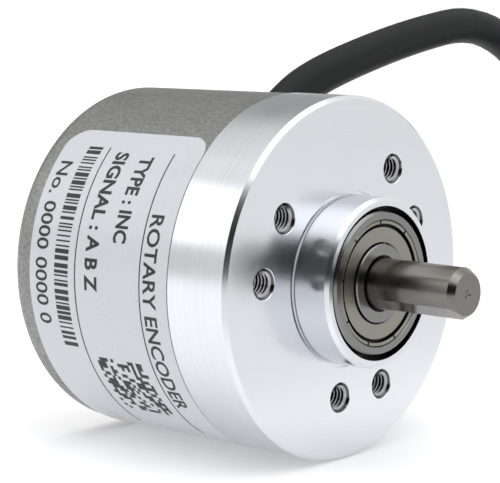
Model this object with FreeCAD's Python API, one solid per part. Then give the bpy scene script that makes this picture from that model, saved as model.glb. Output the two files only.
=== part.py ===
import FreeCAD, Part
import math
import os

from FreeCAD import Vector

# Incremental rotary encoder with a round flange, a pilot boss, a 6 mm shaft and a radial cable.
# Millimetres. The origin is the centre of the flange's mounting face, +X runs out along the shaft,
# +Z is up, and the case lies on its side on a surface at z = -case_radius.
# Angles round the shaft are in degrees, from +Y towards +Z.

# ---- driving dimensions -------------------------------------------------------------------------
case_radius = 21.5
flange_depth = 8.75
case_length = 35.3
rim_chamfer = 0.45

boss_radius = 10.0
boss_height = 5.0
boss_chamfer = 0.4
relief_start = 0.15
relief_undercut = 0.15
relief_width = 0.4
relief_depth = 0.3

hole_radius = 1.5
hole_mouth_radius = 1.85
hole_depth = 7.0
outer_circle_radius = 15.0
inner_circle_radius = 14.0
outer_circle_angle = 55.8
inner_circle_angle = 24.5
hole_count = 3

shaft_radius = 3.0
shaft_end = 17.1
shaft_tail = -21.5
shaft_chamfer_length = 0.8
shaft_chamfer_depth = 0.55
flat_distance = 2.5
flat_angle = 241.0
flat_start = 6.4
seat_groove_length = 1.3
seat_groove_depth = 0.2

bearing_width = 6.0
bearing_outer_radius = 8.5
race_land_radius = 6.9
shield_seat_radius = 7.4
inner_ring_radius = 4.61
ball_radius = 1.5
ball_pitch_radius = 5.75
ball_count = 7
race_clearance = 0.03
front_bearing_face = boss_height
rear_bearing_face = -8.6
crimp_count = 9
crimp_angle = 11.3

wall = 1.4
cover_radius = case_radius - 0.1
cover_draft = 0.15
cover_edge_radius = 2.1
cover_floor = 2.0
spigot_length = 3.5
spigot_radius = 19.95
hub_radius = 10.0
joint_gap = 0.05

pillar_circle_radius = 16.7
pillar_angles = (100.0, 220.0, 340.0)
screw_radius = 1.0
screw_clearance = 0.05

board_radius = 18.6
board_thickness = 1.6
sensor_board_x = -22.2
main_board_x = -26.0

disc_radius = 14.5
disc_thickness = 0.8
disc_x = -19.3
optics_angle = 280.0
optics_circle_radius = 12.8
holder_radius = 2.7

label_start_angle = 128.5
label_end_angle = 290.0
label_rear_x = -31.5
label_corner = 3.0

cable_radius = 2.6
cable_angle = 40.0
cable_x = -29.0
grommet_radius = 4.1
grommet_proud = 1.0

coil_radii = (21.3, 26.5, 31.7)
coil_rows = ((0, 3), (0, 3), (1, 3))
coil_turns_at_top = 0.5
coil_lift = 0.8
tie_angles = (75.0, 240.0)
tie_width = 2.6
lead_count = 5
lead_radius = 0.45

# The free cable's route: corner points of its runs, from the grommet to the coil.
cable_route = [
    (-29.0, 17.24, 14.46),
    (-29.0, 21.4, 17.95),
    (-29.1, 27.0, 21.0),
    (-29.2, 36.8, 23.8),
    (-29.4, 52.0, 27.0),
    (-29.8, 67.0, 28.8),
    (-30.3, 80.5, 23.6),
    (-30.8, 91.0, 12.8),
    (-31.2, 99.8, -4.8),
    (-31.5, 111.6, -14.0),
    (-31.7, 124.4, -17.7),
    (-31.7, 133.0, -18.1),
]
coil_centre = (0.0, 133.0)

x_axis = Vector(1, 0, 0)
z_axis = Vector(0, 0, 1)
origin = Vector(0, 0, 0)
nodes = {}


# ---- helpers ------------------------------------------------------------------------------------
def around(radius, degrees, x=0.0):
    """A point at this radius and angle round the shaft."""
    turn = math.radians(degrees)
    return Vector(x, radius * math.cos(turn), radius * math.sin(turn))


def spread(count, first):
    """Equal angles round a circle."""
    return [first + 360.0 / count * i for i in range(count)]


def turned(outline):
    """A solid turned about the shaft from (x, radius) points."""
    points = [Vector(x, 0, radius) for x, radius in outline]
    return Part.Face(Part.makePolygon(points + points[:1])).revolve(origin, x_axis, 360)


def rod(x_low, x_high, radius, place=origin):
    """A round bar along the shaft's direction, whose axis passes through place."""
    return Part.makeCylinder(radius, x_high - x_low, Vector(x_low, place.y, place.z), x_axis)


def tube(x_low, x_high, inner, outer, place=origin):
    return rod(x_low, x_high, outer, place).cut(rod(x_low, x_high, inner, place))


def ring_torus(x, centre_radius, section_radius):
    return Part.makeTorus(centre_radius, section_radius, Vector(x, 0, 0), x_axis)


def block(size, centre, degrees=0.0):
    """A box along the shaft, its height radial, turned about the shaft by degrees."""
    length, across, high = size
    corner = Vector(centre.x - length / 2, -across / 2, -high / 2)
    solid = Part.makeBox(length, across, high, corner)
    solid.rotate(origin, x_axis, degrees - 90.0)
    solid.translate(Vector(0, centre.y, centre.z))
    return solid


def rounded_path(points):
    """Straight runs joined by tangent arcs, each as large as its two runs allow."""
    corners = [Vector(*p) for p in points]
    edges, start, radii = [], corners[0], []
    for before, corner, after in zip(corners, corners[1:], corners[2:]):
        back, ahead = (before - corner), (after - corner)
        reach = 0.45 * min(back.Length, ahead.Length)
        back.normalize()
        ahead.normalize()
        half_turn = (math.pi - back.getAngle(ahead)) / 2
        radius = reach / math.tan(half_turn)
        middle_way = back + ahead
        middle_way.normalize()
        sagitta = radius / math.cos(half_turn) - radius
        first, last = corner + back * reach, corner + ahead * reach
        edges.append(Part.LineSegment(start, first).toShape())
        edges.append(Part.Arc(first, corner + middle_way * sagitta, last).toShape())
        start = last
        radii.append(round(radius, 1))
    edges.append(Part.LineSegment(start, corners[-1]).toShape())
    return Part.Wire(edges), radii


def swept(points, radius):
    """A round solid along a rounded path, with its arcs' radii."""
    path, radii = rounded_path(points)
    direction = Vector(*points[1]) - Vector(*points[0])
    circle = Part.makeCircle(radius, Vector(*points[0]), direction)
    solid = path.makePipeShell([Part.Wire(circle)], True, False)
    return solid, radii, path.Length


def group(solids):
    return Part.makeCompound(solids)


# ---- case ---------------------------------------------------------------------------------------
def front_flange():
    """Flange, pilot boss, bearing hub and the spigot that enters the cover, in one turned piece."""
    joint = -flange_depth
    spigot_end = joint - spigot_length
    mouth = bearing_outer_radius + 0.47
    hub_end = rear_bearing_face - bearing_width - 0.6
    flange = turned([
        (boss_height, mouth),
        (boss_height, boss_radius - boss_chamfer),
        (boss_height - boss_chamfer, boss_radius),
        (relief_start, boss_radius),
        (-relief_depth, boss_radius - relief_undercut),
        (-relief_depth, boss_radius + relief_width),
        (0, boss_radius + relief_width),
        (0, case_radius - rim_chamfer),
        (-rim_chamfer, case_radius),
        (joint + 0.1, case_radius),
        (joint, case_radius - 0.1),
        (joint, spigot_radius),
        (spigot_end + 0.3, spigot_radius),
        (spigot_end, spigot_radius - 0.3),
        (spigot_end, 14.0),
        (joint - 0.9, 14.0),
        (joint - 0.9, hub_radius),
        (hub_end, hub_radius),
        (hub_end, bearing_outer_radius),
        (rear_bearing_face + 0.6, bearing_outer_radius),
        (rear_bearing_face + 0.6, shield_seat_radius),
        (front_bearing_face - bearing_width, shield_seat_radius),
        (front_bearing_face - bearing_width, bearing_outer_radius),
        (boss_height - 1.6, bearing_outer_radius),
        (boss_height - 1.6, mouth),
    ])
    seal_groove = tube(joint - 2.35, joint - 1.35, 19.1, spigot_radius + 1)
    flange = flange.cut(seal_groove)
    holes = []
    for radius, first in ((outer_circle_radius, outer_circle_angle),
                          (inner_circle_radius, inner_circle_angle)):
        for degrees in spread(hole_count, first):
            place = around(radius, degrees)
            flare = hole_mouth_radius - hole_radius
            holes.append(rod(-hole_depth, 1, hole_radius, place))
            holes.append(Part.makeCone(hole_radius, hole_mouth_radius, flare,
                                       place - x_axis * flare, x_axis))
            holes.append(Part.makeCone(0, hole_radius, 0.9,
                                       place - x_axis * (hole_depth + 0.9), x_axis))
    for degrees in pillar_angles:
        place = around(pillar_circle_radius, degrees)
        holes.append(rod(spigot_end - 1, joint + 0.2, screw_radius + screw_clearance, place))
    return flange.cut(holes)


def rear_cover():
    """The cast cup that closes the back, with its cable hole and its countersunk screw holes."""
    front = -flange_depth - joint_gap
    rear = -case_length
    inner = cover_radius - wall
    outline = [
        Vector(front, 0, inner),
        Vector(front, 0, cover_radius - 0.12),
        Vector(front - 0.12, 0, cover_radius),
        Vector(rear + cover_edge_radius, 0, cover_radius - cover_draft),
        Vector(rear, 0, cover_radius - cover_draft - cover_edge_radius),
        Vector(rear, 0, 0),
        Vector(rear + cover_floor, 0, 0),
        Vector(rear + cover_floor, 0, inner),
    ]
    bend = cover_edge_radius * math.sqrt(0.5)
    middle = Vector(rear + cover_edge_radius - bend, 0,
                    cover_radius - cover_draft - cover_edge_radius + bend)
    edges = [Part.LineSegment(a, b).toShape() for a, b in zip(outline, outline[1:] + outline[:1])]
    edges[3] = Part.Arc(outline[3], middle, outline[4]).toShape()
    cover = Part.Face(Part.Wire(edges)).revolve(origin, x_axis, 360)
    way = around(1, cable_angle)
    cuts = [Part.makeCylinder(grommet_radius - 0.7, 8, around(17, cable_angle, cable_x), way)]
    for degrees in pillar_angles:
        place = around(pillar_circle_radius, degrees, rear)
        cuts.append(Part.makeCylinder(screw_radius + 0.1, 5, place - x_axis, x_axis))
        cuts.append(Part.makeCone(2.25, 1.0, 1.25, place - x_axis * 0.05, x_axis))
    return cover.cut(cuts)


def cover_seal():
    return ring_torus(-flange_depth - 1.85, 19.54, 0.42)


def cross_screw(place, head_radius, length):
    """A countersunk screw with a cross recess, its head towards -X, starting at place."""
    head = Part.makeCone(head_radius, screw_radius - 0.05, 1.1, place, x_axis)
    shank = Part.makeCylinder(screw_radius - 0.05, length, place, x_axis)
    recess = [
        block((1.2, 0.42, 1.7), place, 0.0),
        block((1.2, 0.42, 1.7), place, 90.0),
    ]
    return head.fuse(shank).cut(recess)


def cover_screws():
    places = [around(pillar_circle_radius, d, -case_length + 0.08) for d in pillar_angles]
    return group([cross_screw(p, 2.1, 5.5) for p in places])


def pillars(x_low, x_high, outer, bore_low, bore_high, stud_low=None, stud_high=None):
    """Three round posts with a blind bore, and a stud where one is asked for."""
    posts = []
    for degrees in pillar_angles:
        place = around(pillar_circle_radius, degrees)
        post = rod(x_low, x_high, outer, place)
        post = post.cut(rod(bore_low, bore_high, screw_radius + screw_clearance, place))
        if stud_low is not None:
            post = post.fuse(rod(stud_low, stud_high, screw_radius - 0.05, place))
        posts.append(post)
    return group(posts)


def rating_label():
    """The wrapped film label, one tenth of a millimetre thick, with rounded corners."""
    label_front_x = -flange_depth - joint_gap - 0.02
    sleeve = tube(label_rear_x, label_front_x, cover_radius, case_radius)
    reach = case_radius + 10
    middle = (label_start_angle + label_end_angle) / 2
    half = (label_end_angle - label_start_angle) / 2
    fan = [origin] + [around(reach, middle + half * step) for step in (-1.0, -0.5, 0.0, 0.5, 1.0)]
    low = Vector(label_rear_x - 1, 0, 0)
    face = Part.Face(Part.makePolygon([p + low for p in fan + fan[:1]]))
    label = sleeve.common(face.extrude(x_axis * (label_front_x - label_rear_x + 2)))
    corner_turn = math.degrees(label_corner / case_radius)
    cuts = []
    for degrees, inward in ((label_start_angle, 1), (label_end_angle, -1)):
        for x, along in ((label_rear_x, 1), (label_front_x, -1)):
            centre_angle = degrees + inward * corner_turn
            centre = around(case_radius - 3, centre_angle, x + along * label_corner)
            way = around(1, centre_angle)
            side = around(1, centre_angle - 90.0 * inward)
            round_bar = Part.makeCylinder(label_corner, 6, centre, way)
            square = Part.makePolygon([
                centre,
                centre - x_axis * (along * (label_corner + 1)),
                centre - x_axis * (along * (label_corner + 1)) + side * (label_corner + 1),
                centre + side * (label_corner + 1),
                centre,
            ])
            cuts.append(Part.Face(square).extrude(way * 6).cut(round_bar))
    return label.cut(cuts)


# ---- bearings -----------------------------------------------------------------------------------
def bearing(face):
    """Outer ring, two shields, inner ring, balls and cage of a deep-groove bearing.

    face is where its front face lies; the bearing runs back from there.
    """
    back = face - bearing_width
    middle = face - bearing_width / 2
    race = ring_torus(middle, ball_pitch_radius, ball_radius + race_clearance)
    edge = 0.28
    outer = turned([
        (face, shield_seat_radius + 0.06),
        (face, bearing_outer_radius - edge),
        (face - edge, bearing_outer_radius),
        (back + edge, bearing_outer_radius),
        (back, bearing_outer_radius - edge),
        (back, shield_seat_radius + 0.06),
        (back + 0.1, shield_seat_radius),
        (back + 0.95, shield_seat_radius),
        (back + 0.95, race_land_radius),
        (face - 0.95, race_land_radius),
        (face - 0.95, shield_seat_radius),
        (face - 0.1, shield_seat_radius),
    ]).cut(race)
    inner = turned([
        (face - 0.32, shaft_radius),
        (face, shaft_radius + 0.32),
        (face, inner_ring_radius - 0.12),
        (face - 0.12, inner_ring_radius),
        (back + 0.12, inner_ring_radius),
        (back, inner_ring_radius - 0.12),
        (back, shaft_radius + 0.32),
        (back + 0.32, shaft_radius),
    ]).cut(race)
    shields = group([shield(face, -1), shield(back, 1)])
    places = [around(ball_pitch_radius, d, middle) for d in spread(ball_count, 8.0)]
    balls = group([Part.makeSphere(ball_radius, p) for p in places])
    cage = tube(middle - 0.6, middle + 1.9, ball_pitch_radius - 0.45, ball_pitch_radius + 0.45)
    cage = cage.cut([Part.makeSphere(ball_radius + 0.04, p) for p in places])
    return outer, shields, inner, balls, cage


def shield(face, inward):
    """A pressed shield with a stepped rim that is crimped into its seat at equal angles."""
    rim = shield_seat_radius - 0.03
    outline = [
        (0.34, inner_ring_radius + 0.14),
        (0.34, 6.56),
        (0.56, 6.68),
        (0.56, 6.86),
        (0.18, 6.94),
        (0.10, 7.04),
        (0.10, 7.28),
        (0.20, rim),
        (0.92, rim),
        (0.92, 6.90),
        (0.80, 6.55),
        (0.56, 6.45),
        (0.56, inner_ring_radius + 0.14),
    ]
    pressed = turned([(face + inward * depth, radius) for depth, radius in outline])
    notch = (0.9, 0.26, 0.6)
    cuts = [block(notch, around(7.23, d, face), d) for d in spread(crimp_count, crimp_angle)]
    return pressed.cut(cuts)


def wave_washer():
    return tube(rear_bearing_face + 0.05, rear_bearing_face + 0.55, 7.5, 8.4)


# ---- rotor --------------------------------------------------------------------------------------
def shaft():
    """Ground shaft with a flat, a collar between the bearings, a clip groove and a centre mark.

    A groove for retaining compound ends the front bearing's seat, just inside the bearing's bore.
    """
    collar_front = front_bearing_face - bearing_width
    collar_rear = rear_bearing_face
    clip_x = collar_rear - bearing_width
    groove_end = front_bearing_face + 0.05
    groove_radius = shaft_radius - seat_groove_depth
    bar = turned([
        (shaft_tail, 0),
        (shaft_tail, shaft_radius - 0.3),
        (shaft_tail + 0.3, shaft_radius),
        (clip_x - 0.7, shaft_radius),
        (clip_x - 0.7, shaft_radius - 0.5),
        (clip_x, shaft_radius - 0.5),
        (clip_x, shaft_radius),
        (collar_rear, shaft_radius),
        (collar_rear, inner_ring_radius - 0.4),
        (collar_front, inner_ring_radius - 0.4),
        (collar_front, shaft_radius),
        (groove_end - seat_groove_length, shaft_radius),
        (groove_end - seat_groove_length, groove_radius),
        (groove_end, groove_radius),
        (groove_end, shaft_radius),
        (flat_start, shaft_radius),
        (shaft_end - shaft_chamfer_length, shaft_radius),
        (shaft_end, shaft_radius - shaft_chamfer_depth),
        (shaft_end, 0.55),
        (shaft_end - 0.45, 0),
    ])
    # The flat is cut where the turned surface has its seam, and the shaft is then turned to its angle.
    length = shaft_end - flat_start
    seam_angle = 90.0
    centre = around(flat_distance + 2, seam_angle, flat_start + length / 2 + 1)
    bar = bar.cut(block((length + 2, 10, 4), centre, seam_angle))
    bar.rotate(origin, x_axis, flat_angle - seam_angle)
    return bar


def shaft_clip():
    clip_x = rear_bearing_face - bearing_width
    ring = tube(clip_x - 0.65, clip_x - 0.05, shaft_radius - 0.48, shaft_radius + 1.9)
    return ring.cut(block((2, 3.2, 6), around(4.2, 90, clip_x), 90))


def disc_hub():
    """Hub that carries the code disc, with two opposed holes for its set screws."""
    front = disc_x + 3.5
    hub = turned([
        (front, shaft_radius + 0.02),
        (front, 6.2),
        (front - 0.3, 6.5),
        (disc_x + 0.9, 6.5),
        (disc_x + 0.9, 8.0),
        (disc_x, 8.0),
        (disc_x, 4.2),
        (disc_x - disc_thickness, 4.2),
        (disc_x - disc_thickness, shaft_radius + 0.02),
    ])
    holes = [Part.makeCylinder(screw_radius + 0.02, 6, around(2, d, disc_x + 2.2), around(1, d))
             for d in (0.0, 180.0)]
    return hub.cut(holes)


def hub_screws():
    screws = []
    for degrees in (0.0, 180.0):
        start = around(shaft_radius + 0.02, degrees, disc_x + 2.2)
        screw = Part.makeCylinder(screw_radius - 0.02, 3.1, start, around(1, degrees))
        socket = Part.makeCylinder(0.45, 2, around(5.1, degrees, disc_x + 2.2), around(1, degrees))
        screws.append(screw.cut(socket))
    return group(screws)


def code_disc():
    return tube(disc_x - disc_thickness, disc_x, 4.24, disc_radius)


def disc_clamp():
    return tube(disc_x - disc_thickness - 0.7, disc_x - disc_thickness, shaft_radius + 0.02, 7.0)


# ---- optics and boards --------------------------------------------------------------------------
def led_holder():
    """A stepped post that holds the emitter and its lens in front of the disc."""
    back = -flange_depth - spigot_length
    front = disc_x + 0.45
    place = around(optics_circle_radius + 2.6, optics_angle)
    optics = around(optics_circle_radius, optics_angle)
    post = rod(front, back - 0.02, holder_radius, optics)
    foot = block((1.4, 9.5, 4.6), place + Vector(back - 0.72, 0, 0), optics_angle)
    post = post.fuse(foot)
    cuts = [
        rod(front - 1, front + 1.1, 2.24, optics),
        rod(front - 1, back + 1, 1.56, optics),
        block((6, 1.6, 6), around(optics_circle_radius + 3, optics_angle, back - 2.5), optics_angle),
    ]
    return post.cut(cuts)


def led():
    optics = around(optics_circle_radius, optics_angle)
    start = -flange_depth - spigot_length - 0.3
    body = rod(start - 3.4, start, 1.5, optics)
    dome = Part.makeSphere(1.5, optics + Vector(start - 3.4, 0, 0))
    return body.fuse(dome)


def led_lens():
    optics = around(optics_circle_radius, optics_angle)
    return rod(disc_x + 0.5, disc_x + 1.5, 2.2, optics)


def led_leads():
    """Two wires from the emitter round the disc's edge to the sensor board."""
    wires = []
    for side in (-0.55, 0.55):
        start = around(optics_circle_radius + 1.52, optics_angle, -flange_depth - spigot_length - 1.0)
        bend = around(17.6, optics_angle, start.x)
        across = around(side, optics_angle - 90.0)
        first = Part.makeCylinder(0.22, (bend - start).Length, start + across, bend - start)
        second = Part.makeCylinder(0.22, start.x - sensor_board_x, bend + across, -x_axis)
        corner = Part.makeSphere(0.22, bend + across)
        wires.append(first.fuse([second, corner]))
    return group(wires)


def board(x_front, centre_hole):
    """A round circuit board with a centre hole and three post holes, running back from x_front."""
    plate = tube(x_front - board_thickness, x_front, centre_hole, board_radius)
    holes = [rod(x_front - 2, x_front + 1, screw_radius + 0.1, around(pillar_circle_radius, d))
             for d in pillar_angles]
    return plate.cut(holes)


def main_board():
    """The output board, with a straight edge that clears the cable's way in."""
    cut_out = block((4, 30, 20), around(8.2 + 10, cable_angle, main_board_x - 0.8), cable_angle)
    return board(main_board_x, 2.0).cut(cut_out)


def detector_chip():
    return block((1.2, 7.0, 5.6), around(optics_circle_radius, optics_angle, sensor_board_x + 0.6),
                 optics_angle)


def reticle():
    return block((0.5, 5.4, 4.4), around(optics_circle_radius, optics_angle, sensor_board_x + 1.45),
                 optics_angle)


def board_header():
    """Pin header that joins the two boards."""
    gap = sensor_board_x - board_thickness - main_board_x
    centre = around(11.5, 160.0, main_board_x + gap / 2)
    return block((gap, 10.2, 2.5), centre, 160.0)


def capacitors():
    back = main_board_x - board_thickness
    places = [around(12.5, 185.0), around(12.5, 265.0)]
    return group([rod(back - 4.2, back, 2.5, p) for p in places])


def resistors():
    back = main_board_x - board_thickness
    chips = []
    for degrees in spread(8, 0.0)[3:]:
        chips.append(block((0.5, 1.6, 0.85), around(7.5, degrees, back - 0.25), degrees))
    return group(chips)


def driver_chip():
    return block((1.5, 6.0, 4.0), around(9.0, 250.0, main_board_x + 0.75), 250.0)


def regulator_chip():
    return block((1.5, 4.0, 3.0), around(13.0, 300.0, main_board_x - board_thickness - 0.75), 300.0)


def wire_plug():
    back = main_board_x - board_thickness
    return Part.makeBox(3.4, 9.0, 4.2, Vector(back - 3.4, -4.5, -4.8))


# ---- cable --------------------------------------------------------------------------------------
def cable_entry():
    """The jacketed cable inside the grommet, from its stripped inner end to the outer mouth."""
    way = around(1, cable_angle)
    return Part.makeCylinder(cable_radius, 22.5 - 13.0, around(13.0, cable_angle, cable_x), way)


def cable_grommet():
    """Rubber bush with a collar each side of the wall; the outer collar follows the case."""
    way = around(1, cable_angle)
    start = around(17.9, cable_angle, cable_x)
    mouth = case_radius + grommet_proud
    collar = Part.makeCylinder(grommet_radius, mouth - 0.35 - 19.0, around(19.0, cable_angle, cable_x), way)
    nose = Part.makeCone(grommet_radius, grommet_radius - 0.5, 0.35,
                         around(mouth - 0.35, cable_angle, cable_x), way)
    outer = collar.fuse(nose).cut(rod(-case_length, 0, cover_radius + 0.02))
    neck = Part.makeCylinder(grommet_radius - 0.75, 4.2, start + way, way)
    inner = Part.makeCylinder(grommet_radius, 1.4, start, way)
    bore = Part.makeCylinder(cable_radius + 0.02, 10, around(15, cable_angle, cable_x), way)
    return outer.fuse([neck, inner]).cut(bore)


def cable_crimp():
    way = around(1, cable_angle)
    start = around(15.2, cable_angle, cable_x)
    ring = Part.makeCylinder(cable_radius + 0.95, 2.6, start, way)
    return ring.cut(Part.makeCylinder(cable_radius + 0.02, 4, start - way, way))


def inner_wires():
    """Five insulated wires from the stripped jacket to the plug on the board."""
    wires = []
    way = around(1, cable_angle)
    back = main_board_x - board_thickness
    for i in range(5):
        turn = math.radians(72.0 * i + 20.0)
        side = x_axis * (1.25 * math.cos(turn)) + around(1.25 * math.sin(turn), cable_angle + 90.0)
        start = around(13.0, cable_angle, cable_x) + side
        bend = start - way * 4.0
        end_y = 3.2 - 1.6 * i
        plug = Vector(back - 1.7, end_y, -0.6)
        above = Vector(back - 1.7, end_y, 2.4)
        path = [start, bend, above, plug]
        wires.append(swept([tuple(p) for p in path], 0.4)[0])
    return group(wires)


def coil_outline():
    """The coil's section as (radius, z) corners: rows of turns stacked on each other."""
    floor = -case_radius + coil_lift
    inside, outside = [], []
    for level, (first, last) in enumerate(coil_rows):
        middle = floor + cable_radius * (2 * level + 1)
        inside.append((coil_radii[first] - cable_radius, middle))
        outside.append((coil_radii[last - 1] + cable_radius, middle))
    top = floor + 2 * cable_radius * len(coil_rows)
    bevel = 1.4
    inner = [(inside[0][0] + bevel, floor)] + inside + [(inside[-1][0] + bevel, top)]
    outer = [(outside[-1][0] - bevel, top)] + outside[::-1] + [(outside[0][0] - bevel, floor)]
    return inner + outer


def cable_coil():
    """The rest of the cable as one closed ring, the outer shape of its tied turns."""
    points = [Vector(coil_centre[0] + r, coil_centre[1], z) for r, z in coil_outline()]
    face = Part.Face(Part.makePolygon(points + points[:1]))
    return face.revolve(Vector(coil_centre[0], coil_centre[1], 0), z_axis, 360)


def grown(outline, by):
    """The outline moved outwards from its middle by a distance at each corner."""
    middle_r = sum(r for r, _ in outline) / len(outline)
    middle_z = sum(z for _, z in outline) / len(outline)
    moved = []
    for r, z in outline:
        away = math.hypot(r - middle_r, z - middle_z)
        moved.append((r + (r - middle_r) * by / away, z + (z - middle_z) * by / away))
    return moved


def coil_ties():
    """Flat ties round the bundle, each with its head on the outside."""
    ties = []
    for degrees in tie_angles:
        bands = []
        for by in (1.0, 0.06):
            shape = [Vector(r, -tie_width / 2, max(z, -case_radius)) for r, z in grown(coil_outline(), by)]
            bands.append(Part.Face(Part.makePolygon(shape + shape[:1])).extrude(Vector(0, tie_width, 0)))
        outer_r = max(r for r, _ in coil_outline())
        head = Part.makeBox(3.0, 3.8, 3.6, Vector(outer_r + 0.5, -1.9, -20.6))
        tie = bands[0].fuse(head).cut(bands[1])
        tie.rotate(origin, z_axis, degrees)
        tie.translate(Vector(coil_centre[0], coil_centre[1], 0))
        ties.append(tie)
    return group(ties)


def cable_leads():
    """The stripped conductors at the far end, fanned out over the coil's lower rows."""
    turns_done = math.radians(180.0 - 360.0 * coil_turns_at_top)
    ring = coil_radii[1]
    height = -case_radius + coil_lift + 5 * cable_radius
    centre = Vector(coil_centre[0], coil_centre[1], 0)
    leads = []
    for i in range(lead_count):
        about = math.radians(360.0 / lead_count * i)
        spot = (ring + 1.3 * math.cos(about), height + 1.3 * math.sin(about))
        path = []
        for step, inward, drop in ((0.0, 0.0, 0.0), (0.16, 0.3, 0.4), (0.36, 1.0, 0.8),
                                   (0.62, 2.1, 1.0), (0.9, 3.2, 1.0)):
            fan = 1.0 + 0.9 * (i - 2) * step
            turn = turns_done - step * 1.5
            radius = spot[0] - inward * fan
            lowest = height - cable_radius + lead_radius + 0.1
            z = spot[1] + (lowest + 0.5 * (i % 2) - spot[1]) * drop
            path.append((centre.x + radius * math.cos(turn), centre.y + radius * math.sin(turn), z))
        leads.append(swept(path, lead_radius)[0])
    return group(leads)


# ---- assembly -----------------------------------------------------------------------------------
nodes["front_flange"] = front_flange()
nodes["rear_cover"] = rear_cover()
nodes["cover_seal"] = cover_seal()
nodes["cover_screws"] = cover_screws()
nodes["rating_label"] = rating_label()

spigot_end = -flange_depth - spigot_length
sensor_back = sensor_board_x - board_thickness
main_back = main_board_x - board_thickness
cover_inside = -case_length + cover_floor
nodes["board_pillars"] = pillars(sensor_board_x, spigot_end, 2.2, sensor_board_x - 1,
                                 sensor_board_x + 4, spigot_end, spigot_end + 3)
nodes["board_spacers"] = pillars(main_board_x, sensor_back, 2.1, main_board_x - 1, sensor_back + 1)
nodes["cover_pillars"] = pillars(cover_inside, main_back, 2.2, cover_inside - 1,
                                 cover_inside + 4.2, main_back, sensor_board_x + 3)

for name, face in (("front", front_bearing_face), ("rear", rear_bearing_face)):
    outer, shields, inner, balls, cage = bearing(face)
    nodes[name + "_bearing_outer_ring"] = outer
    nodes[name + "_bearing_shields"] = shields
    nodes[name + "_bearing_inner_ring"] = inner
    nodes[name + "_bearing_balls"] = balls
    nodes[name + "_bearing_cage"] = cage
nodes["wave_washer"] = wave_washer()

nodes["shaft"] = shaft()
nodes["shaft_clip"] = shaft_clip()
nodes["disc_hub"] = disc_hub()
nodes["hub_screws"] = hub_screws()
nodes["code_disc"] = code_disc()
nodes["disc_clamp"] = disc_clamp()

nodes["led_holder"] = led_holder()
nodes["led"] = led()
nodes["led_lens"] = led_lens()
nodes["led_leads"] = led_leads()
nodes["sensor_board"] = board(sensor_board_x, 4.0)
nodes["detector_chip"] = detector_chip()
nodes["reticle"] = reticle()
nodes["main_board"] = main_board()
nodes["board_header"] = board_header()
nodes["capacitors"] = capacitors()
nodes["resistors"] = resistors()
nodes["driver_chip"] = driver_chip()
nodes["regulator_chip"] = regulator_chip()
nodes["wire_plug"] = wire_plug()

nodes["cable_entry"] = cable_entry()
nodes["cable_grommet"] = cable_grommet()
nodes["cable_crimp"] = cable_crimp()
nodes["inner_wires"] = inner_wires()

cable, cable_bends, cable_run = swept(cable_route, cable_radius)
nodes["cable"] = cable
nodes["cable_coil"] = cable_coil()
nodes["coil_ties"] = coil_ties()
nodes["cable_leads"] = cable_leads()

full_rows = 2 * math.pi * sum(coil_radii) * 2
top_row = 2 * math.pi * (coil_radii[2] + coil_turns_at_top * coil_radii[1])
print("cable bends, mm:", cable_bends)
print("cable run %.1f mm, volume over section times length %.4f"
      % (cable_run, cable.Volume / (math.pi * cable_radius ** 2 * cable_run)))
print("cable in the coil %.0f mm" % (full_rows + top_row))

os.makedirs("parts", exist_ok=True)
for name, shape in nodes.items():
    solids = shape.Solids
    bad = [s for s in solids if not s.isValid() or s.Volume <= 0]
    print("%-28s solids %2d  volume %9.2f%s" % (name, len(solids), shape.Volume, "  BAD" if bad else ""))
    shape.exportStep("parts/%s.step" % name)
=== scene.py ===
import math
import random

import bpy
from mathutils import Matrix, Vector


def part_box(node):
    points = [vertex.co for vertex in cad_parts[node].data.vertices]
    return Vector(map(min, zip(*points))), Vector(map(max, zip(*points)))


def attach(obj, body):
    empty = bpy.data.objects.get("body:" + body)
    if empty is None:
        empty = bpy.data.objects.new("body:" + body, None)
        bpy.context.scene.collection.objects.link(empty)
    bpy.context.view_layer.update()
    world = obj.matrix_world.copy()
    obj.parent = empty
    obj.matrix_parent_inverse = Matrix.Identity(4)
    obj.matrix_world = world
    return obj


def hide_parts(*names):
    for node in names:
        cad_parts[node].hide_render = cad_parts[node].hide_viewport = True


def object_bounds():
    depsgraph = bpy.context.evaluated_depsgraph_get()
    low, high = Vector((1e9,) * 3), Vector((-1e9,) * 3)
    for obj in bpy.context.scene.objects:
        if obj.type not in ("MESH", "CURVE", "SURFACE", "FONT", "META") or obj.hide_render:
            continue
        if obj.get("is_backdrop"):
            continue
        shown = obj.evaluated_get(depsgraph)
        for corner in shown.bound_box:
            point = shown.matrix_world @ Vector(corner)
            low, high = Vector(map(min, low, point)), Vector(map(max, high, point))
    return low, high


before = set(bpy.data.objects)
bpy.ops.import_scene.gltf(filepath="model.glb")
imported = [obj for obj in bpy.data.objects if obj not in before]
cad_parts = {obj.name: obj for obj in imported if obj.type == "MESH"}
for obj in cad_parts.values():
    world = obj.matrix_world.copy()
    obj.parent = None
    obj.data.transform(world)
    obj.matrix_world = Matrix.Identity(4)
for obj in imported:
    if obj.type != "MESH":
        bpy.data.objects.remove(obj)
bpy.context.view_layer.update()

# rotary encoder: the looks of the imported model
# everything is in metres, x along the shaft, angles round the shaft from +y towards +z

mm = 0.001
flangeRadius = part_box("front_flange")[1].z
floorHeight = -flangeRadius
weldGap = 0.002 * mm


def around(radius, degrees, x=0.0):
    turn = math.radians(degrees)
    return Vector((x, radius * math.cos(turn), radius * math.sin(turn)))


def clearSelection():
    if bpy.context.object and bpy.context.object.mode != "OBJECT":
        bpy.ops.object.mode_set(mode="OBJECT")
    bpy.ops.object.select_all(action="DESELECT")


def pick(piece):
    clearSelection()
    piece.select_set(True)
    bpy.context.view_layer.objects.active = piece


def settle(piece):
    # place, turn and scale go into the mesh
    pick(piece)
    bpy.ops.object.transform_apply(location=True, rotation=True, scale=True)


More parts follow.
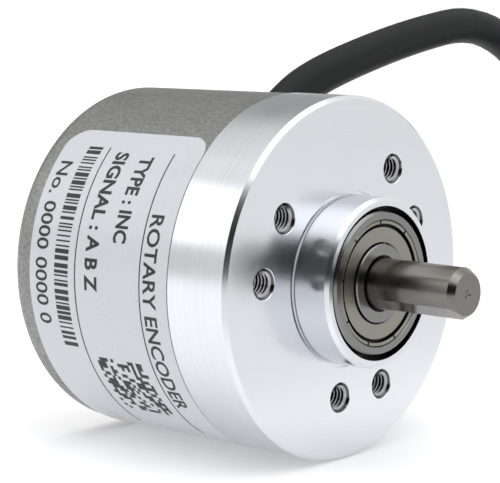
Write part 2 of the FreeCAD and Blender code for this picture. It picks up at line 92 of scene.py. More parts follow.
def applyAll(piece):
    pick(piece)
    for modifier in list(piece.modifiers):
        bpy.ops.object.modifier_apply(modifier=modifier.name)


def smooth(piece, degrees=35):
    pick(piece)
    bpy.ops.object.shade_smooth_by_angle(angle=math.radians(degrees))


def faceOut(piece):
    # weld what was left open, then turn every face outwards
    pick(piece)
    bpy.ops.object.mode_set(mode="EDIT")
    bpy.ops.mesh.select_all(action="SELECT")
    bpy.ops.mesh.remove_doubles(threshold=weldGap)
    bpy.ops.mesh.normals_make_consistent(inside=False)
    bpy.ops.object.mode_set(mode="OBJECT")


def dress(piece, name, material, body="housing"):
    piece.name = name
    piece.data.materials.clear()
    piece.data.materials.append(material)
    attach(piece, body)
    return piece


# where a noise is read as its darkest and lightest, and how deep each kind of surface is
grain = {"low": 0.3, "high": 0.7, "latheDepth": 0.01 * mm, "roughDepth": 0.02 * mm, "spread": 0.05}


def startMaterial(name, color, metallic, roughness, **sockets):
    # further sockets by name, with _ for each space
    material = bpy.data.materials.new(name)
    material.use_nodes = True
    shader = material.node_tree.nodes["Principled BSDF"]
    shader.inputs["Base Color"].default_value = (*color, 1.0)
    shader.inputs["Metallic"].default_value = metallic
    shader.inputs["Roughness"].default_value = roughness
    for socket, value in sockets.items():
        shader.inputs[socket.replace("_", " ")].default_value = value
    return material, shader


def addNode(owner, kind, **values):
    # owner is a material or the world; a value is the node's own or one of its sockets'
    node = owner.node_tree.nodes.new(kind)
    for key, value in values.items():
        if hasattr(node, key):
            setattr(node, key, value)
        else:
            node.inputs[key.replace("_", " ")].default_value = value
    return node


def join(owner, source, target):
    owner.node_tree.links.new(source, target)


def mathNode(owner, operation, first, second=0.0):
    node = addNode(owner, "ShaderNodeMath", operation=operation)
    for socket, value in zip(node.inputs, (first, second)):
        if isinstance(value, (int, float)):
            socket.default_value = value
        else:
            join(owner, value, socket)
    return node.outputs["Value"]


def fade(owner, value, first, last, low=0.0, high=1.0):
    # smooth step from low to high while the value goes from first to last
    step = addNode(owner, "ShaderNodeMapRange", interpolation_type="SMOOTHSTEP")
    names = ("From Min", "From Max", "To Min", "To Max")
    for name, number in zip(names, (first, last, low, high)):
        step.inputs[name].default_value = number
    join(owner, value, step.inputs["Value"])
    return step.outputs["Result"]


def splitVector(owner, vector):
    parts = addNode(owner, "ShaderNodeSeparateXYZ")
    join(owner, vector, parts.inputs["Vector"])
    return parts.outputs


def objectPlace(material, scale=(1.0, 1.0, 1.0)):
    place = addNode(material, "ShaderNodeTexCoord")
    mapping = addNode(material, "ShaderNodeMapping", Scale=scale)
    join(material, place.outputs["Object"], mapping.inputs["Vector"])
    return mapping.outputs["Vector"]


def turnedPlace(material, perMetre):
    # (x, distance from the shaft's axis): lathe lines follow it on faces and on rims
    place = addNode(material, "ShaderNodeTexCoord")
    parts = splitVector(material, place.outputs["Object"])
    flat = addNode(material, "ShaderNodeCombineXYZ")
    join(material, parts["Y"], flat.inputs["X"])
    join(material, parts["Z"], flat.inputs["Y"])
    length = addNode(material, "ShaderNodeVectorMath", operation="LENGTH")
    join(material, flat.outputs["Vector"], length.inputs[0])
    both = addNode(material, "ShaderNodeCombineXYZ")
    join(material, parts["X"], both.inputs["X"])
    join(material, length.outputs["Value"], both.inputs["Y"])
    scaled = addNode(material, "ShaderNodeVectorMath", operation="SCALE")
    scaled.inputs["Scale"].default_value = perMetre
    join(material, both.outputs["Vector"], scaled.inputs[0])
    return scaled.outputs["Vector"]


def noiseAt(material, vector, scale, detail=3.0):
    noise = addNode(material, "ShaderNodeTexNoise", Scale=scale, Detail=detail)
    join(material, vector, noise.inputs["Vector"])
    return noise.outputs["Fac"]


def addRange(material, value, low, high, socket):
    mapRange = addNode(material, "ShaderNodeMapRange")
    mapRange.inputs["From Min"].default_value = grain["low"]
    mapRange.inputs["From Max"].default_value = grain["high"]
    mapRange.inputs["To Min"].default_value = low
    mapRange.inputs["To Max"].default_value = high
    join(material, value, mapRange.inputs["Value"])
    join(material, mapRange.outputs["Result"], socket)


def addTint(material, value, dark, light, socket):
    ramp = addNode(material, "ShaderNodeValToRGB")
    ramp.color_ramp.elements[0].position = grain["low"]
    ramp.color_ramp.elements[0].color = (*dark, 1.0)
    ramp.color_ramp.elements[1].position = grain["high"]
    ramp.color_ramp.elements[1].color = (*light, 1.0)
    join(material, value, ramp.inputs["Fac"])
    join(material, ramp.outputs["Color"], socket)


def addBump(material, shader, value, strength, depth):
    bump = addNode(material, "ShaderNodeBump", Strength=strength, Distance=depth)
    join(material, value, bump.inputs["Height"])
    join(material, bump.outputs["Normal"], shader.inputs["Normal"])


def turnedMetal(name, color, roughness, lines=9000.0, strength=0.06, spread=0.04):
    # bar or ring cut on a lathe: fine rings, roughness a little uneven
    material, shader = startMaterial(name, color, 1.0, roughness)
    rings = noiseAt(material, turnedPlace(material, lines), 1.0, 2.0)
    wear = noiseAt(material, objectPlace(material), 180.0)
    addBump(material, shader, rings, strength, grain["latheDepth"])
    addRange(material, wear, roughness - spread, roughness + spread, shader.inputs["Roughness"])
    addTint(material, rings, [c * 0.94 for c in color], color, shader.inputs["Base Color"])
    return material


def addGrain(material, shader, color, roughness, fine, broad, strength, contrast):
    # uneven depth and tone from the fine noise, uneven roughness from the broad one
    addBump(material, shader, fine, strength, grain["roughDepth"])
    rough = shader.inputs["Roughness"]
    addRange(material, broad, roughness - grain["spread"], roughness + grain["spread"], rough)
    dark = [c * (1 - contrast) for c in color]
    light = [min(1.0, c * (1 + contrast)) for c in color]
    addTint(material, fine, dark, light, shader.inputs["Base Color"])


def grainyMetal(name, color, roughness, scale=2600.0, strength=0.25, contrast=0.12):
    # blasted, plated or pressed metal
    material, shader = startMaterial(name, color, 1.0, roughness)
    fine = noiseAt(material, objectPlace(material), scale, 2.0)
    broad = noiseAt(material, objectPlace(material), scale / 12, 3.0)
    addGrain(material, shader, color, roughness, fine, broad, strength, contrast)
    return material


def moulded(name, color, roughness, scale=1500.0, strength=0.12, contrast=0.15, **sockets):
    # plastic, rubber, epoxy or ceramic
    material, shader = startMaterial(name, color, 0.0, roughness, **sockets)
    fine = noiseAt(material, objectPlace(material), scale, 2.0)
    addGrain(material, shader, color, roughness, fine, fine, strength, contrast)
    return material


def paintShade(material, mask, tone):
    # lay painted shade, a dark tone over the base colour, where the mask is 1
    shader = material.node_tree.nodes["Principled BSDF"]
    source = shader.inputs["Base Color"].links[0].from_socket
    mix = addNode(material, "ShaderNodeMix", data_type="RGBA")   # its colour sockets are 6, 7 and 2
    join(material, mask, mix.inputs[0])
    join(material, source, mix.inputs[6])
    mix.inputs[7].default_value = (tone, tone, tone, 1.0)
    join(material, mix.outputs[2], shader.inputs["Base Color"])


def ringMask(material, low, high):
    # 1 between two distances from the shaft's axis
    parts = splitVector(material, turnedPlace(material, 1.0))
    outside = mathNode(material, "GREATER_THAN", parts["Y"], low)
    inside = mathNode(material, "LESS_THAN", parts["Y"], high)
    return mathNode(material, "MULTIPLY", outside, inside), parts["X"]


# two circles of holes: radius and first angle; where painted shade darkens the flange's metal in the holes
# and in the bearing seat, and how dark
holes = {"circles": ((15.0 * mm, 55.8), (14.0 * mm, 24.5)), "count": 3, "mouth": 1.9 * mm,
         "front": -0.06 * mm, "tone": 0.10}
seat = {"inner": 8.0 * mm, "outer": 9.0 * mm, "bottom": 3.2 * mm, "tone": 0.02}


def holePlaces(x=0.0):
    apart = 360.0 / holes["count"]
    return [around(radius, first + apart * i, x)
            for radius, first in holes["circles"] for i in range(holes["count"])]


def flangeMetal(name, color, roughness):
    # polished face; painted shade darkens the bottom of the bearing seat and the insides of the holes
    material = turnedMetal(name, color, roughness, 7000.0, 0.03, 0.03)
    # painted shade in the bearing seat
    ring, along = ringMask(material, seat["inner"], seat["outer"])
    front = mathNode(material, "GREATER_THAN", along, seat["bottom"])
    paintShade(material, mathNode(material, "MULTIPLY", ring, front), seat["tone"])
    # painted shade on the walls inside the holes
    place = objectPlace(material, (0.0, 1.0, 1.0))
    nearest = 1.0
    for spot in holePlaces():
        gap = addNode(material, "ShaderNodeVectorMath", operation="DISTANCE")
        join(material, place, gap.inputs[0])
        gap.inputs[1].default_value = spot
        nearest = mathNode(material, "MINIMUM", gap.outputs["Value"], nearest)
    within = mathNode(material, "LESS_THAN", nearest, holes["mouth"])
    below = mathNode(material, "LESS_THAN", along, holes["front"])
    paintShade(material, mathNode(material, "MULTIPLY", within, below), holes["tone"])
    return material


def clearGlass(name, color, roughness):
    material, shader = startMaterial(name, color, 0.0, roughness, IOR=1.5, Transmission_Weight=0.85)
    streaks = noiseAt(material, objectPlace(material), 900.0)
    addBump(material, shader, streaks, 0.02, grain["latheDepth"])
    return material


codedTracks = {"glass": (0.70, 0.76, 0.78), "line": (0.08, 0.08, 0.09), "lines": 250.0}


def codedGlass():
    # fine radial lines all round the glass
    glass = codedTracks["glass"]
    material, shader = startMaterial("codedGlass", glass, 0.0, 0.08, IOR=1.5)
    place = addNode(material, "ShaderNodeTexCoord")
    parts = splitVector(material, place.outputs["Object"])
    turn = mathNode(material, "ARCTAN2", parts["Z"], parts["Y"])
    wave = mathNode(material, "SINE", mathNode(material, "MULTIPLY", turn, codedTracks["lines"]))
    addTint(material, wave, codedTracks["line"], glass, shader.inputs["Base Color"])
    return material


def boardResist():
    # green solder mask with faint copper tracks under it
    material, shader = startMaterial("boardResist", (0.02, 0.16, 0.08), 0.0, 0.32)
    tracks = addNode(material, "ShaderNodeTexBrick", Scale=420.0)
    tracks.inputs["Color1"].default_value = (0.02, 0.16, 0.08, 1.0)
    tracks.inputs["Color2"].default_value = (0.02, 0.18, 0.09, 1.0)
    tracks.inputs["Mortar"].default_value = (0.05, 0.28, 0.13, 1.0)
    turned = addNode(material, "ShaderNodeMapping")
    turned.inputs["Rotation"].default_value = (0.0, math.radians(90), 0.0)
    place = addNode(material, "ShaderNodeTexCoord")
    join(material, place.outputs["Object"], turned.inputs["Vector"])
    join(material, turned.outputs["Vector"], tracks.inputs["Vector"])
    join(material, tracks.outputs["Color"], shader.inputs["Base Color"])
    addBump(material, shader, tracks.outputs["Fac"], 0.1, grain["roughDepth"])
    return material


# name, colour, roughness, then the scale, strength and contrast of the surface where they aren't the usual
finish = {
    "polishedAluminium": flangeMetal("polishedAluminium", (0.735, 0.75, 0.78), 0.21),
    "blastedAluminium": grainyMetal("blastedAluminium", (0.28, 0.28, 0.275), 0.48, 2600.0, 0.40, 0.22),
    "silverFilm": moulded("silverFilm", (0.60, 0.615, 0.65), 0.32, 4000.0, 0.01, 0.02, Coat_Weight=0.3),
    "bearingSteel": turnedMetal("bearingSteel", (0.23, 0.23, 0.225), 0.22, 12000.0, 0.10),
    "shieldSteel": turnedMetal("shieldSteel", (0.27, 0.27, 0.235), 0.30, 9000.0, 0.08),
    "ballSteel": turnedMetal("ballSteel", (0.72, 0.72, 0.73), 0.06, 4000.0, 0.01, 0.02),
    "cageSteel": grainyMetal("cageSteel", (0.50, 0.48, 0.42), 0.35),
    "groundSteel": turnedMetal("groundSteel", (0.20, 0.19, 0.175), 0.20, 14000.0, 0.20),
    "springSteel": grainyMetal("springSteel", (0.22, 0.22, 0.23), 0.35),
    "zincPlate": grainyMetal("zincPlate", (0.62, 0.63, 0.64), 0.28, 3000.0, 0.15, 0.08),
    "turnedBrass": turnedMetal("turnedBrass", (0.75, 0.56, 0.26), 0.22),
    "hubAlloy": turnedMetal("hubAlloy", (0.68, 0.69, 0.70), 0.22),
    "codedGlass": codedGlass(),
    "clearLens": clearGlass("clearLens", (0.92, 0.94, 0.96), 0.05),
    "blackMoulding": moulded("blackMoulding", (0.022, 0.022, 0.023), 0.48),
    "boardResist": boardResist(),
    "chipEpoxy": moulded("chipEpoxy", (0.020, 0.020, 0.021), 0.40, 4200.0, 0.2),
    "capacitorCan": turnedMetal("capacitorCan", (0.66, 0.67, 0.69), 0.22),
    "firedCeramic": moulded("firedCeramic", (0.30, 0.25, 0.20), 0.55),
    "tinnedWire": grainyMetal("tinnedWire", (0.70, 0.70, 0.68), 0.22, 2400.0, 0.1, 0.05),
    "sealRubber": moulded("sealRubber", (0.016, 0.016, 0.017), 0.55, 1300.0, 0.18),
    "cableJacket": moulded("cableJacket", (0.006, 0.0065, 0.007), 0.55, 1100.0, 0.20, 0.25,
                           Specular_IOR_Level=0.22),
    "nylonTie": moulded("nylonTie", (0.030, 0.030, 0.031), 0.42, 1700.0, 0.08),
    "crimpMetal": grainyMetal("crimpMetal", (0.60, 0.60, 0.60), 0.30),
    "whitePlug": moulded("whitePlug", (0.78, 0.76, 0.68), 0.42),
    "labelInk": moulded("labelInk", (0.012, 0.012, 0.013), 0.45, 2500.0, 0.05),
    # darker than the flange: painted shade on the threads inside the holes
    "shadedThreadMetal": turnedMetal("shadedThreadMetal", (0.40, 0.40, 0.41), 0.20, 9000.0, 0.05),
}
wireColors = {"red": (0.42, 0.02, 0.02), "black": (0.012, 0.012, 0.012), "white": (0.72, 0.72, 0.70),
              "green": (0.02, 0.22, 0.06), "yellow": (0.60, 0.42, 0.03)}
for color, value in wireColors.items():
    finish[color + "Wire"] = moulded(color + "Wire", value, 0.32, 1800.0, 0.06, 0.08)
print("materials:", len(finish))

# the shadowed grooves on both sides of a shield
grooves = {"rings": ((4.5 * mm, 4.80 * mm), (6.52 * mm, 6.92 * mm)), "tone": 0.012}
for low, high in grooves["rings"]:
    paintShade(finish["shieldSteel"], ringMask(finish["shieldSteel"], low, high)[0], grooves["tone"])

nodeFinish = {
    "polishedAluminium": ["front_flange"],
    "blastedAluminium": ["rear_cover"],
    "silverFilm": ["rating_label"],
    "bearingSteel": ["front_bearing_outer_ring", "front_bearing_inner_ring",
                     "rear_bearing_outer_ring", "rear_bearing_inner_ring"],
    "shieldSteel": ["front_bearing_shields", "rear_bearing_shields"],
    "ballSteel": ["front_bearing_balls", "rear_bearing_balls"],
    "cageSteel": ["front_bearing_cage", "rear_bearing_cage"],
    "groundSteel": ["shaft"],
    "springSteel": ["wave_washer", "shaft_clip", "hub_screws"],
    "zincPlate": ["cover_screws"],
    "turnedBrass": ["board_pillars", "board_spacers", "cover_pillars"],
    "hubAlloy": ["disc_hub", "disc_clamp"],
    "codedGlass": ["code_disc", "reticle"],
    "clearLens": ["led", "led_lens"],
    "blackMoulding": ["led_holder", "board_header"],
    "boardResist": ["sensor_board", "main_board"],
    "chipEpoxy": ["detector_chip", "driver_chip", "regulator_chip"],
    "capacitorCan": ["capacitors"],
    "firedCeramic": ["resistors"],
    "tinnedWire": ["led_leads"],
    "sealRubber": ["cover_seal", "cable_grommet"],
    "cableJacket": ["cable_entry"],
    "crimpMetal": ["cable_crimp"],
    "whitePlug": ["wire_plug"],
    "yellowWire": ["inner_wires"],
}
for material, members in nodeFinish.items():
    for member in members:
        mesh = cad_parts[member].data
        mesh.materials.clear()
        mesh.materials.append(finish[material])
print("CAD nodes dressed:", sum(len(members) for members in nodeFinish.values()))


# cable: the free run, then the tied coil, on one spline; the route is in millimetres
cable = {
    "radius": 2.6 * mm,
    "route": [(-29.0, 17.24, 14.46), (-29.0, 21.4, 17.95), (-29.1, 27.0, 21.0), (-29.2, 36.8, 23.8),
              (-29.4, 52.0, 27.0), (-29.8, 67.0, 28.8), (-30.3, 80.5, 23.6), (-30.8, 91.0, 12.8),
              (-31.2, 99.8, -4.8), (-31.5, 111.6, -14.0), (-31.7, 124.4, -17.7), (-31.7, 133.0, -18.1)],
    "coilCentre": (0.0, 133.0 * mm),
    "startAngle": 180.0,
    "step": 15.0,
    "turned": 2700.0,
    "radii": (31.7 * mm, 26.5 * mm, 21.3 * mm),
    "rows": (-18.1 * mm, -12.9 * mm, -7.7 * mm),
    "length": 1.418,
    "sides": 6,
}
# where the winding moves one place: (degrees wound, radius place, row)
windingMoves = [(310, 0, 0), (360, 1, 0), (670, 1, 0), (720, 2, 0), (1010, 2, 0), (1070, 2, 1),
                (1335, 2, 1), (1395, 1, 1), (1695, 1, 1), (1755, 0, 1), (2045, 0, 1), (2105, 0, 2),
                (2370, 0, 2), (2430, 1, 2)]


def onCoil(reach, turn, height):
    centreX, centreY = cable["coilCentre"]
    return (centreX + reach * math.cos(turn), centreY + reach * math.sin(turn), height)


def coilPoint(wound):
    before = (0, 0, 0)
    radius, height = cable["radii"][0], cable["rows"][0]
    for move in windingMoves:
        if wound <= move[0]:
            share = (wound - before[0]) / (move[0] - before[0])
            share = share * share * (3 - 2 * share)
            radius = cable["radii"][before[1]] * (1 - share) + cable["radii"][move[1]] * share
            height = cable["rows"][before[2]] * (1 - share) + cable["rows"][move[2]] * share
            break
        before = move
        radius, height = cable["radii"][move[1]], cable["rows"][move[2]]
    reach = radius * 2 / (1 + math.cos(math.radians(cable["step"])))   # the spline cuts inside its points
    return onCoil(reach, math.radians(cable["startAngle"] - wound), height)


def splineCurve(name, points, radius, sides):
    curve = bpy.data.curves.new(name, "CURVE")
    curve.dimensions = "3D"
    curve.resolution_u = 6
    curve.bevel_depth = radius
    curve.bevel_resolution = sides
    curve.use_fill_caps = True
    spline = curve.splines.new("NURBS")
    spline.points.add(len(points) - 1)
    for knot, point in zip(spline.points, points):
        knot.co = (*point, 1.0)
    spline.order_u = 3
    spline.use_endpoint_u = True
    piece = bpy.data.objects.new(name, curve)
    bpy.context.scene.collection.objects.link(piece)
    return piece


def makeCable():
    points = [tuple(c * mm for c in point) for point in cable["route"]]
    steps = int(cable["turned"] / cable["step"])
    points += [coilPoint(cable["step"] * i) for i in range(1, steps + 1)]
    piece = splineCurve("cable_lead", points, cable["radius"], cable["sides"])
    dress(piece, "cable_lead", finish["cableJacket"])
    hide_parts("cable", "cable_coil")
    return piece


cablePiece = makeCable()

# five stripped conductors that fan out of the jacket's end and lie on the row below
leads = {
    "radius": 0.45 * mm,
    "colors": ("red", "black", "white", "green", "yellow"),
    "apart": 72.0,
    "circle": 1.3 * mm,
    # share of the run, millimetres inwards, share of the drop
    "steps": ((0.0, 0.0, 0.0), (0.16, 0.3, 0.4), (0.36, 1.0, 0.8), (0.62, 2.1, 1.0), (0.9, 3.2, 1.0)),
    "run": 1.5,
    "fan": 0.9,
    "gap": 0.1 * mm,
    "stagger": 0.5 * mm,
    "bareTip": 2.5 * mm,
    "sides": 4,
}


def makeLead(i, color):
    about = math.radians(leads["apart"] * i)
    spot = (cable["radii"][1] + leads["circle"] * math.cos(about),
            cable["rows"][2] + leads["circle"] * math.sin(about))
    lowest = (cable["rows"][2] - cable["radius"] + leads["radius"] + leads["gap"]
              + leads["stagger"] * (i % 2))
    fromMiddle = i - len(leads["colors"]) // 2
    points = []
    for step, inward, drop in leads["steps"]:
        turn = math.radians(cable["startAngle"] - cable["turned"]) - step * leads["run"]
        radius = spot[0] - inward * mm * (1.0 + leads["fan"] * fromMiddle * step)
        points.append(onCoil(radius, turn, spot[1] + (lowest - spot[1]) * drop))
    piece = splineCurve("lead", points, leads["radius"], leads["sides"])
    pick(piece)
    bpy.ops.object.convert(target="MESH")
    faceOut(piece)
    dress(piece, "lead_" + color, finish[color + "Wire"])
    piece.data.materials.append(finish["tinnedWire"])
    tip = Vector(points[-1])
    for face in piece.data.polygons:
        face.material_index = int((face.center - tip).length < leads["bareTip"])
    smooth(piece)
    return piece


leadPieces = [makeLead(i, color) for i, color in enumerate(leads["colors"])]
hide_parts("cable_leads")

# flat ties drawn tight round the bundle, head outside
ties = {"angles": (75.0, 240.0), "width": 2.6 * mm, "gap": 0.10 * mm, "thickness": 0.9 * mm,
        "floorGap": 0.05 * mm, "cornerSteps": 5, "bandEdge": 0.15 * mm,
        "head": (3.0 * mm, 3.8 * mm, 3.6 * mm), "headHeight": -18.8 * mm, "headGap": 0.5 * mm,
        "slotRim": 0.6 * mm, "slotDepth": 1.2 * mm, "headEdge": 0.25 * mm}


def tieOutline(offset):
    # corner centres with the first and last angle of the arc round each
    inner, outer = cable["radii"][2], cable["radii"][0]
    lowest = floorHeight + ties["floorGap"]
    corners = [(inner, cable["rows"][0], 180, 270), (outer, cable["rows"][0], 270, 360),
               (outer, cable["rows"][2], 0, 90), (cable["radii"][1], cable["rows"][2], 90, 135),
               (inner, cable["rows"][1], 135, 180)]
    points = []
    for radius, height, first, last in corners:
        for i in range(ties["cornerSteps"]):
            turn = math.radians(first + (last - first) * i / (ties["cornerSteps"] - 1))
            points.append((radius + offset * math.cos(turn),
                           max(lowest, height + offset * math.sin(turn))))
    return points


def bevelEdges(piece, width, segments):
    bevel = piece.modifiers.new("edge", "BEVEL")
    bevel.width = width
    bevel.segments = segments
    bevel.limit_method = "ANGLE"


def tieBand():
    outline = tieOutline(cable["radius"] + ties["gap"])
    clearSelection()
    bpy.ops.mesh.primitive_circle_add(vertices=len(outline), radius=mm, fill_type="NOTHING")
    band = bpy.context.object
    for vertex, (radius, height) in zip(band.data.vertices, outline):
        vertex.co = (radius, -ties["width"] / 2, height)
    bpy.ops.object.mode_set(mode="EDIT")
    bpy.ops.mesh.select_mode(type="EDGE")
    bpy.ops.mesh.select_all(action="SELECT")
    bpy.ops.mesh.extrude_region_move(TRANSFORM_OT_translate={"value": (0, ties["width"], 0)})
    bpy.ops.mesh.select_all(action="SELECT")
    bpy.ops.mesh.normals_make_consistent(inside=False)
    bpy.ops.object.mode_set(mode="OBJECT")
    wall = band.modifiers.new("wall", "SOLIDIFY")
    wall.thickness = ties["thickness"]
    wall.offset = 1.0
    bevelEdges(band, ties["bandEdge"], 2)
    applyAll(band)
    return band


def tieHead():
    # a block with a slot sunk into its top
    clearSelection()
    headX = cable["radii"][0] + cable["radius"] + ties["headGap"] + ties["head"][0] / 2
    bpy.ops.mesh.primitive_cube_add(size=1.0, location=(headX, 0, ties["headHeight"]))
    head = bpy.context.object
    head.scale = ties["head"]
    settle(head)
    bpy.ops.object.mode_set(mode="EDIT")
    bpy.ops.mesh.select_all(action="DESELECT")
    bpy.ops.object.mode_set(mode="OBJECT")
    for face in head.data.polygons:
        face.select = face.normal.z > 0.9
    bpy.ops.object.mode_set(mode="EDIT")
    bpy.ops.mesh.select_mode(type="FACE")
    bpy.ops.mesh.inset(thickness=ties["slotRim"])
    bpy.ops.mesh.extrude_region_move(TRANSFORM_OT_translate={"value": (0, 0, -ties["slotDepth"])})
    bpy.ops.object.mode_set(mode="OBJECT")
    bevelEdges(head, ties["headEdge"], 3)
    applyAll(head)
    return head


def makeTie(index, degrees):
    band = tieBand()
    head = tieHead()
    pick(band)
    head.select_set(True)
    bpy.ops.object.join()
    band.rotation_euler = (0, 0, math.radians(degrees))
    band.location = (*cable["coilCentre"], 0)
    settle(band)
    smooth(band)
    return dress(band, "coil_tie_" + str(index + 1), finish["nylonTie"])


tiePieces = [makeTie(i, degrees) for i, degrees in enumerate(ties["angles"])]
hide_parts("coil_ties")
print("cable, leads and ties made")


# threads in the six flange holes; the flank and the tip are shares of the pitch
threads = {"outerRadius": 1.49 * mm, "rootDepth": 0.30 * mm, "pitch": 0.5 * mm, "turns": 12,
           "start": -0.35 * mm, "perTurn": 28, "flank": 0.46, "tip": 0.2, "smooth": 40}


def makeThread():
    # one ridge section, wound into the hole with the Screw modifier
    clearSelection()
    bpy.ops.mesh.primitive_circle_add(vertices=4, radius=0.2 * mm, fill_type="NOTHING")
    ridge = bpy.context.object
    outer = threads["outerRadius"]
    inner = outer - threads["rootDepth"]
    flank = threads["pitch"] * threads["flank"]
    tip = flank * threads["tip"]
    section = [(outer, flank), (inner, tip), (inner, -tip), (outer, -flank)]
    for vertex, (radius, along) in zip(ridge.data.vertices, section):
        vertex.co = (radius, 0, along)
    winding = ridge.modifiers.new("winding", "SCREW")
    winding.axis = "Z"
    winding.screw_offset = threads["pitch"]
    winding.iterations = threads["turns"]
    winding.steps = threads["perTurn"]
    winding.render_steps = threads["perTurn"]
    winding.use_smooth_shade = False
    applyAll(ridge)
    bpy.ops.object.mode_set(mode="EDIT")   # close the two open ends
    bpy.ops.mesh.select_mode(type="EDGE")
    bpy.ops.mesh.select_all(action="DESELECT")
    bpy.ops.mesh.select_non_manifold()
    bpy.ops.mesh.edge_face_add()
    bpy.ops.object.mode_set(mode="OBJECT")
    faceOut(ridge)
    ridge.rotation_euler = (0, math.radians(-90), 0)
    settle(ridge)
    smooth(ridge, threads["smooth"])
    return ridge


firstThread = makeThread()
threadPlaces = holePlaces(threads["start"])
for i, spot in enumerate(threadPlaces):
    piece = firstThread.copy()
    piece.data = firstThread.data.copy()
    bpy.context.scene.collection.objects.link(piece)
    piece.location = spot
    settle(piece)
    dress(piece, "hole_thread_" + str(i + 1), finish["shadedThreadMetal"])
clearSelection()
bpy.data.objects.remove(firstThread)
print("threads made:", len(threadPlaces))


# label print, wrapped round the case; all wording is generic; x and heights are in millimetres
label = {
    "radius": flangeRadius,
    "proud": 0.018 * mm,
    "depth": 0.03 * mm,
    "slice": 0.5 * mm,
    # text, x of its middle, first and last angle, letter height, extra weight
    "lines": (("ROTARY ENCODER", -11.5, 157.0, 223.0, 1.95, 0.045),
              ("TYPE : INC", -16.8, 138.0, 167.0, 2.0, 0.08),
              ("SIGNAL : A B Z", -21.0, 137.0, 183.0, 2.0, 0.08),
              ("No. 0000 0000 0", -29.4, 142.0, 196.0, 2.0, 0.03)),
    # x, first and last angle of the thin rules
    "rules": ((-13.1, 136.0, 240.0), (-23.7, 135.4, 240.0)),
    "ruleWidth": 0.16,
    "bars": (-27.2, -24.9, 135.6, 203.5),
    "grid": (-22.4, -14.5, 205.5, 229.0),
    "gridCells": 17,
    "cellSize": 0.96,
    "cellShare": 0.5,
    "barWidths": (0.5, 0.5, 1.0, 1.4),
    "barGaps": (0.5, 0.7, 1.1),
    "capitals": 0.72,   # how tall a capital is for a text size of 1
    "seed": 7,
}


def downLabel(degrees):
    return math.radians(degrees) * label["radius"]


def wrap(piece):
    # flat print to the case: flat x is the way down the label, flat y is along the shaft
    for vertex in piece.data.vertices:
        flat = vertex.co.copy()
        radius = label["radius"] + flat.z
        vertex.co = around(radius, math.degrees(flat.x / label["radius"]), flat.y)


def wrapText(name, text, x, first, last, height, weight):
    clearSelection()
    bpy.ops.object.text_add()
    piece = bpy.context.object
    piece.data.body = text
    piece.data.size = height * mm / label["capitals"]
    piece.data.offset = weight * mm
    piece.data.extrude = label["depth"] / 2
    piece.data.resolution_u = 3
    bpy.ops.object.convert(target="MESH")
    low = min(v.co.x for v in piece.data.vertices)
    high = max(v.co.x for v in piece.data.vertices)
    start = downLabel(first)
    stretch = downLabel(last - first) / (high - low)
    for vertex in piece.data.vertices:
        vertex.co.x = start + (vertex.co.x - low) * stretch
        vertex.co.y += (x - height / 2) * mm
        vertex.co.z += label["proud"] - label["depth"] / 2
    pick(piece)
    bpy.ops.object.mode_set(mode="EDIT")
    cuts = int(downLabel(last - first) / label["slice"])
    for i in range(1, cuts):
        bpy.ops.mesh.select_all(action="SELECT")
        bpy.ops.mesh.bisect(plane_co=(start + label["slice"] * i, 0, 0), plane_no=(1, 0, 0))
    bpy.ops.object.mode_set(mode="OBJECT")
    wrap(piece)
    faceOut(piece)
    return dress(piece, name, finish["labelInk"])


def addPatches(name, patches):
    # patches: (low x, high x, first angle, last angle), each a thin closed block bent to the case
    clearSelection()
    blocks = []
    for lowX, highX, first, last in patches:
        bpy.ops.mesh.primitive_cube_add(size=1.0)
        block = bpy.context.object
        run = downLabel(last - first)
        block.scale = (run, (highX - lowX) * mm, label["depth"])
        block.location = (downLabel((first + last) / 2), (lowX + highX) / 2 * mm,
                          label["proud"] - label["depth"] / 2)
        settle(block)
        cuts = int(run / label["slice"])
        if cuts:
            bpy.ops.object.mode_set(mode="EDIT")
            for i in range(1, cuts + 1):
                bpy.ops.mesh.select_all(action="SELECT")
                at = downLabel(first) + run * i / (cuts + 1)
                bpy.ops.mesh.bisect(plane_co=(at, 0, 0), plane_no=(1, 0, 0))
            bpy.ops.object.mode_set(mode="OBJECT")
        blocks.append(block)
    clearSelection()
    for block in blocks:
        block.select_set(True)
    bpy.context.view_layer.objects.active = blocks[0]
    bpy.ops.object.join()
    piece = bpy.context.object
    wrap(piece)
    return dress(piece, name, finish["labelInk"])


for i, line in enumerate(label["lines"]):
    wrapText("label_line_" + str(i + 1), *line)
half = label["ruleWidth"] / 2
addPatches("label_rules", [(x - half, x + half, first, last) for x, first, last in label["rules"]])

random.seed(label["seed"])
lowX, highX, angle, lastAngle = label["bars"]
bars = []
while angle < lastAngle:
    wide = random.choice(label["barWidths"])
    bars.append((lowX, highX, angle, angle + wide))
    angle += wide + random.choice(label["barGaps"])
addPatches("label_bars", bars)

lowX, highX, first, last = label["grid"]
cells = label["gridCells"]
cellX = (highX - lowX) / cells
cellTurn = (last - first) / cells
marks = []
for column in range(cells):
    for row in range(cells):
        if random.random() < label["cellShare"]:
            marks.append((lowX + cellX * column, lowX + cellX * (column + label["cellSize"]),
                          first + cellTurn * row, first + cellTurn * (row + label["cellSize"])))
addPatches("label_grid", marks)
print("label printed, bars:", len(bars), "cells:", len(marks))


# floor, light and camera
studio = {
    "floorSize": 6.0,
    "floorGap": 0.02 * mm,
    "floorColor": (0.85, 0.85, 0.86),
    "floorGlow": (0.015, 0.045, 0.27, 0.04),   # from x to x, from strength to strength
    # place, size and power
    "lights": {"overhead": ((-0.05, -0.10, 0.55), 0.5, 0.8), "side": ((-0.45, -0.35, 0.30), 0.3, 0.25)},
    "cameraAim": (-0.015352, 0.0, 0.003102),
    "azimuth": 41.615,
    "elevation": 7.551,
    "distance": 0.236743,
    "lens": 139.606,
}
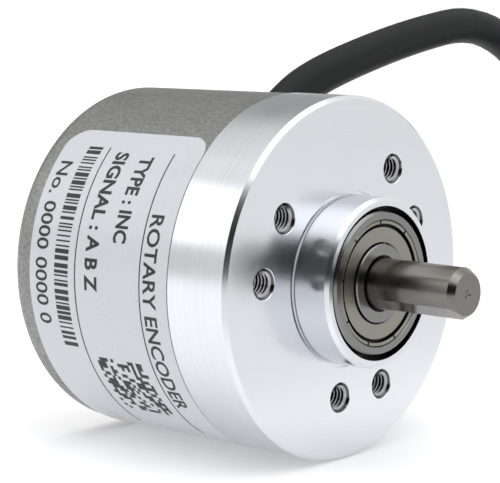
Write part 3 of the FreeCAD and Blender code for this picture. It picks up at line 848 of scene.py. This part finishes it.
# each fade of the room: from and to along an axis of the view's direction, from and to in value
room = {
    "low": (0.60, 0.80, 1.0, 0.0),
    "front": (-0.40, -0.16, 1.0, 0.0),
    "right": (0.05, 0.35, 0.25, 0.995),
    "left": (-0.52, -0.20, 0.62, 0.0),
    "wallFoot": (0.06, 0.16),
    "wallEdge": (-0.15, 0.05),
    "ceiling": (0.60, 0.80),
    "ceilingSide": (0.10, 0.40, 0.0, 1.1),
}


def makeFloor():
    clearSelection()
    height = floorHeight - studio["floorGap"]
    bpy.ops.mesh.primitive_plane_add(size=studio["floorSize"], location=(0, 0, height))
    floor = bpy.context.object
    floor.name = "floor"
    material, shader = startMaterial("paleFloor", studio["floorColor"], 0.0, 0.9, Specular_IOR_Level=0.1)
    shader.inputs["Emission Color"].default_value = (1.0, 1.0, 1.0, 1.0)
    parts = splitVector(material, objectPlace(material))
    glow = fade(material, parts["X"], *studio["floorGlow"])   # dimmer where only the flange's face sees it
    join(material, glow, shader.inputs["Emission Strength"])
    floor.data.materials.append(material)
    floor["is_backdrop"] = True


def makeWorld():
    # white all round, with a dark side behind the camera and a grey wall to the left that the metal shows
    world = bpy.data.worlds.new("studio")
    bpy.context.scene.world = world
    world.use_nodes = True
    background = world.node_tree.nodes["Background"]
    place = addNode(world, "ShaderNodeTexCoord")
    way = splitVector(world, place.outputs["Generated"])
    low = fade(world, way["Z"], *room["low"])
    front = fade(world, way["Y"], *room["front"])
    right = fade(world, way["X"], *room["right"])
    left = fade(world, way["X"], *room["left"])
    dark = mathNode(world, "MULTIPLY", mathNode(world, "MULTIPLY", low, front), right)
    wall = mathNode(world, "MULTIPLY", low, left)
    wall = mathNode(world, "MULTIPLY", wall, fade(world, way["Z"], *room["wallFoot"]))
    wall = mathNode(world, "MULTIPLY", wall, fade(world, way["Y"], *room["wallEdge"]))
    shade = mathNode(world, "MAXIMUM", dark, wall)
    ceiling = fade(world, way["Z"], *room["ceiling"])
    above = mathNode(world, "MULTIPLY", ceiling, fade(world, way["X"], *room["ceilingSide"]))
    tone = mathNode(world, "ADD", mathNode(world, "SUBTRACT", 1.0, shade), above)
    join(world, tone, background.inputs["Strength"])
    background.inputs["Color"].default_value = (1.0, 1.0, 1.0, 1.0)


def makeLight(name, place, size, power):
    data = bpy.data.lights.new(name, "AREA")
    data.size = size
    data.energy = power
    light = bpy.data.objects.new(name, data)
    bpy.context.scene.collection.objects.link(light)
    light.location = place
    light.rotation_mode = "QUATERNION"
    light.rotation_quaternion = (-Vector(place)).to_track_quat("-Z", "Y")   # aimed at the origin


def makeCamera():
    turn = math.radians(studio["azimuth"])
    tilt = math.radians(studio["elevation"])
    back = Vector((math.sin(turn) * math.cos(tilt), -math.cos(turn) * math.cos(tilt), math.sin(tilt)))
    data = bpy.data.cameras.new("camera")
    data.lens = studio["lens"]
    data.sensor_width = 36.0
    data.clip_start = 0.01
    data.clip_end = 50.0
    camera = bpy.data.objects.new("camera", data)
    bpy.context.scene.collection.objects.link(camera)
    camera.location = Vector(studio["cameraAim"]) + back * studio["distance"]
    camera.rotation_mode = "QUATERNION"
    camera.rotation_quaternion = (-back).to_track_quat("-Z", "Y")
    bpy.context.scene.camera = camera


makeFloor()
makeWorld()
for name, (place, size, power) in studio["lights"].items():
    makeLight(name, place, size, power)
makeCamera()
bpy.context.scene.view_settings.view_transform = "Standard"
print("studio ready")

low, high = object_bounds()
